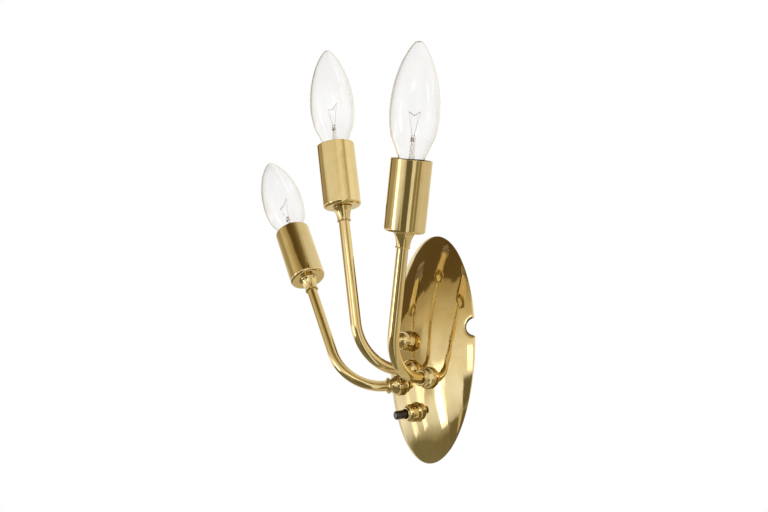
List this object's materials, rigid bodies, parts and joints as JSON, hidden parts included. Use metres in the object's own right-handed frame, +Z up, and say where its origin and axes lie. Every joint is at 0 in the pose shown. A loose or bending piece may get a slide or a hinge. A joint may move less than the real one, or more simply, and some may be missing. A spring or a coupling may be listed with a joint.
{
  "type": "wall sconce",
  "caption": "Electric wall sconce in polished brass: domed oval back plate, bent tube arms in a fan with cup lampholders and clear candle lamps, push-button switch.",
  "frame": {"origin": "on the wall, at the middle of the oval plate, on the back face of the wall bracket", "axes": "+Z up, +Y into the wall, +X to the right for someone who faces the wall"},
  "size_m": [0.2535, 0.1076, 0.3061],
  "materials": {
    "brass_plate": "polished and lacquered, faint tarnish and hairline scratches",
    "brass_tube": "polished tube",
    "brass_turned": "polished turned brass",
    "brass_sleeve": "polished drawn cup with fine lengthwise lines",
    "brass_inner": "plain, unpolished",
    "steel": "zinc-plated steel",
    "lamp_cap": "nickel-plated screw cap",
    "lamp_glass": "clear blown glass",
    "lamp_mount": "clear glass stem with wire supports",
    "porcelain": "glazed porcelain",
    "switch_housing": "moulded",
    "button_black": "glossy black, lightly rubbed",
    "wire_insulation": "single-core wire insulation"
  },
  "bodies": {
    "sconce": {"back_plate": "brass_plate", "wall_bracket": "steel", "bracket_stud": "steel", "cap_nut": "brass_turned", "earth_screw": "brass_inner", "terminal_block": "porcelain", "switch_body": "switch_housing", "switch_flange": "brass_turned", "switch_ring_nut": "brass_turned", "switch_lead": "wire_insulation", "arm_tube_left": "brass_tube", "arm_bell_left": "brass_turned", "arm_collar_left": "brass_turned", "arm_nipple_left": "steel", "arm_washer_left": "steel", "arm_nut_left": "steel", "arm_lead_left": "wire_insulation", "socket_cone_left": "brass_turned", "socket_sleeve_left": "brass_sleeve", "lampholder_left": "porcelain", "screw_shell_left": "brass_inner", "centre_contact_left": "brass_inner", "arm_tube_centre": "brass_tube", "arm_bell_centre": "brass_turned", "arm_collar_centre": "brass_turned", "arm_nipple_centre": "steel", "arm_washer_centre": "steel", "arm_nut_centre": "steel", "arm_lead_centre": "wire_insulation", "socket_cone_centre": "brass_turned", "socket_sleeve_centre": "brass_sleeve", "lampholder_centre": "porcelain", "screw_shell_centre": "brass_inner", "centre_contact_centre": "brass_inner", "arm_tube_right": "brass_tube", "arm_bell_right": "brass_turned", "arm_collar_right": "brass_turned", "arm_nipple_right": "steel", "arm_washer_right": "steel", "arm_nut_right": "steel", "arm_lead_right": "wire_insulation", "socket_cone_right": "brass_turned", "socket_sleeve_right": "brass_sleeve", "lampholder_right": "porcelain", "screw_shell_right": "brass_inner", "centre_contact_right": "brass_inner"},
    "push_button": {"switch_button": "button_black"},
    "left_lamp": {"lamp_cap_left": "lamp_cap", "lamp_glass_left": "lamp_glass", "lamp_mount_left": "lamp_mount"},
    "centre_lamp": {"lamp_cap_centre": "lamp_cap", "lamp_glass_centre": "lamp_glass", "lamp_mount_centre": "lamp_mount"},
    "right_lamp": {"lamp_cap_right": "lamp_cap", "lamp_glass_right": "lamp_glass", "lamp_mount_right": "lamp_mount"}
  },
  "joints": [
    {"name": "button_press", "type": "slide", "parent": "sconce", "child": "push_button", "axis": [0, 0.9795, 0.2015], "range_m": [0, 0.003], "stiffness_N_per_m": 600, "springref_m": -0.002},
    {"name": "left_lamp_removal", "type": "slide", "parent": "sconce", "child": "left_lamp", "axis": [-0.3934, -0.1375, 0.909], "range_m": [0, 0.03]},
    {"name": "centre_lamp_removal", "type": "slide", "parent": "sconce", "child": "centre_lamp", "axis": [0.0104, -0.1513, 0.9884], "range_m": [0, 0.03]},
    {"name": "right_lamp_removal", "type": "slide", "parent": "sconce", "child": "right_lamp", "axis": [0.4124, -0.1362, 0.9008], "range_m": [0, 0.03]}
  ]
}
